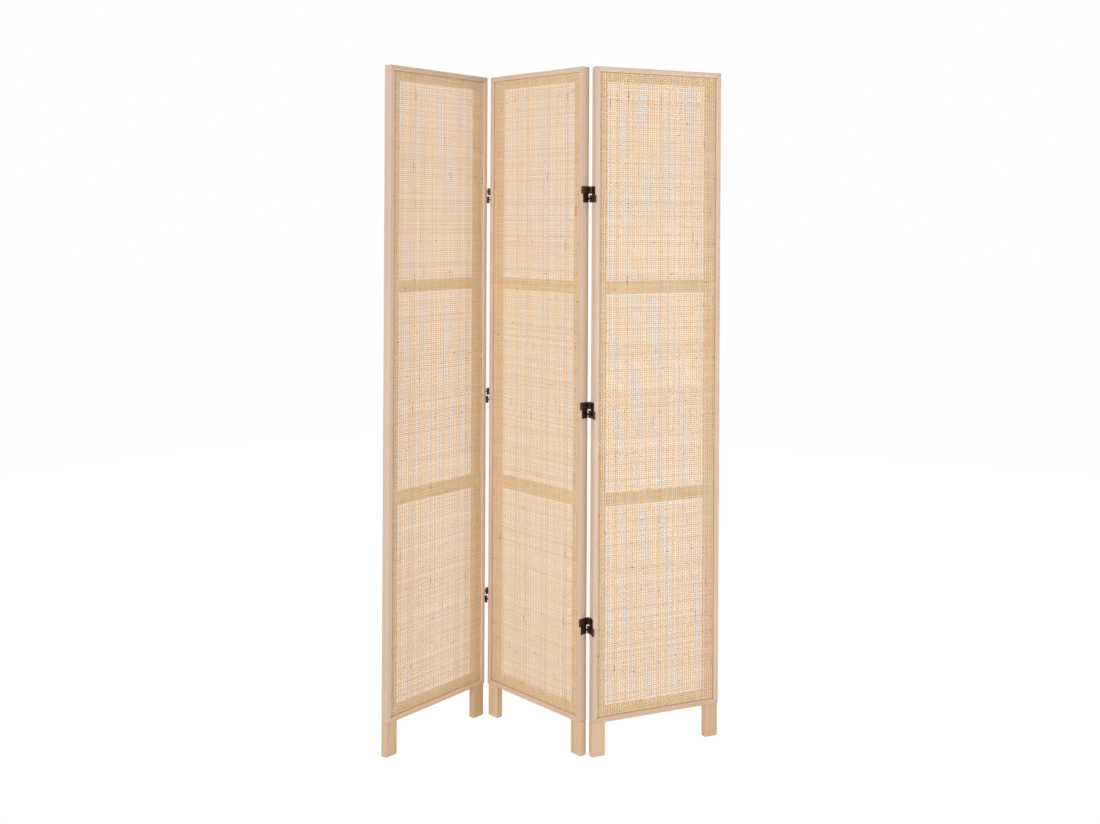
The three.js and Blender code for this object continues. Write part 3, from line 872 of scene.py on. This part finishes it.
def make_hinges():
    plate = hinge_plate()
    strap = hinge_strap()
    plates = {
        "valley_{}_hinge_left_plate": ("panel_1", AT_RIDGE @ LEFT_HAND),
        "valley_{}_hinge_right_plate": ("panel_2", AT_VALLEY),
        "ridge_{}_hinge_left_plate": ("panel_2", AT_RIDGE @ LEFT_HAND),
        "ridge_{}_hinge_right_plate": ("panel_3", AT_VALLEY),
    }
    straps = {
        "valley_{}_hinge_upper_strap": ("panel_2", AT_VALLEY, 1),
        "valley_{}_hinge_lower_strap": ("panel_1", VALLEY_TURN @ AT_VALLEY, -1),
        "ridge_{}_hinge_upper_strap": ("panel_2", AT_RIDGE, 1),
        "ridge_{}_hinge_lower_strap": ("panel_3", RIDGE_TURN @ AT_RIDGE, -1),
    }
    for level, height in HINGE_HEIGHTS.items():
        lift = Matrix.Translation((0, 0, height))
        for pattern, (panel, edge) in plates.items():
            node = pattern.format(level)
            matrix = PLACES[panel] @ edge @ lift
            placed(copied(plate, node + "_steel"), matrix, "hinge_bronze", panel, node)
        for pattern, (panel, matrix, half) in straps.items():
            node = pattern.format(level)
            offset = Matrix.Translation((0, 0, half * HALF_OFFSET))
            whole = ROW @ matrix @ lift @ offset
            placed(copied(strap, node + "_steel"), whole, "hinge_bronze", panel, node)
    removed(plate)
    removed(strap)


# ---------------------------------------------------------------------------------------
# Camera, floor and light

IMAGE_WIDTH = 1100
IMAGE_HEIGHT = 824
FLOOR_GLOW = 1.08
FLOOR_GLOW_SHARE = 0.86


def make_camera():
    """The photographer's place, found from the corners of the panels."""
    focal_length = 1251.0
    horizon = 220.1
    camera = bpy.data.objects.new("camera", bpy.data.cameras.new("camera"))
    camera.data.sensor_width = 36
    camera.data.lens = 36 * focal_length / IMAGE_WIDTH
    camera.data.shift_y = (horizon - IMAGE_HEIGHT / 2) / IMAGE_WIDTH
    camera.data.clip_end = 100
    upright = Matrix.Rotation(math.radians(90), 4, "X")
    heading = Matrix.Rotation(math.radians(-10.135), 4, "Z")
    roll = Matrix.Rotation(math.radians(0.31), 4, "Z")
    place = Matrix.Translation((-0.5678, -3.1683, 1.3210))
    camera.matrix_world = place @ heading @ upright @ roll
    bpy.context.scene.collection.objects.link(camera)
    bpy.context.scene.camera = camera


def seen_white(finish):
    """Lets the camera and reflections see plain white, less the shadows that still show."""
    glow = finish.node("Emission", {}, {"Color": (1, 1, 1, 1), "Strength": FLOOR_GLOW})
    share = finish.white_rays() * FLOOR_GLOW_SHARE
    shaders = {0: share, 1: finish.shader.outputs[0], 2: glow.outputs[0]}
    mix = finish.node("MixShader", {}, shaders)
    finish.feed(finish.tree.nodes["Material Output"].inputs["Surface"], mix.outputs[0])


def make_floor():
    """A plain white floor, wide enough to reach past every view."""
    deselect_all()
    bpy.ops.mesh.primitive_plane_add(size=60, location=(0, 0, 0))
    floor = bpy.context.object
    floor.name = "floor"
    finish = Finish("floor_white")
    finish.shade(Base_Color=(0.86, 0.86, 0.86, 1), Roughness=0.9)
    seen_white(finish)
    floor.data.materials.append(finish.material)


def make_world():
    """Even light from all round, seen as white behind the screen."""
    world = bpy.data.worlds.new("studio")
    bpy.context.scene.world = world
    world.use_nodes = True
    studio = Nodes(world.node_tree)
    even = studio.tree.nodes["Background"]
    studio.feed(even.inputs["Color"], (1.0, 0.985, 0.97, 1))
    studio.feed(even.inputs["Strength"], 0.46)
    white = studio.node("Background", {}, {"Color": (1, 1, 1, 1), "Strength": 1.0})
    shaders = {0: studio.white_rays(), 1: even.outputs[0], 2: white.outputs[0]}
    mix = studio.node("MixShader", {}, shaders)
    studio.feed(studio.tree.nodes["World Output"].inputs["Surface"], mix.outputs[0])


def soft_lamp(name, place, target, size, power):
    lamp = bpy.data.objects.new(name, bpy.data.lights.new(name, "AREA"))
    lamp.data.size = size
    lamp.data.energy = power
    lamp.location = place
    direction = Vector(target) - Vector(place)
    lamp.rotation_euler = direction.to_track_quat("-Z", "Y").to_euler()
    bpy.context.scene.collection.objects.link(lamp)


def make_lights():
    middle = (0, 0, 0.9)
    soft_lamp("key_softbox", (-2.5, -3.05, 1.4), middle, 2.0, 76)
    soft_lamp("fill_softbox", (2.6, -3.1, 1.1), middle, 1.8, 39)
    soft_lamp("top_softbox", (0.2, -0.8, 4.2), middle, 2.6, 10)
    soft_lamp("back_left_softbox", (-2.4, 3.4, 1.3), middle, 2.4, 40)
    soft_lamp("back_right_softbox", (2.4, 3.4, 1.3), middle, 2.4, 40)


bpy.context.scene.view_settings.view_transform = "Standard"
make_camera()
make_world()
make_lights()
make_floor()
make_boards()
make_webbing()
make_hinges()
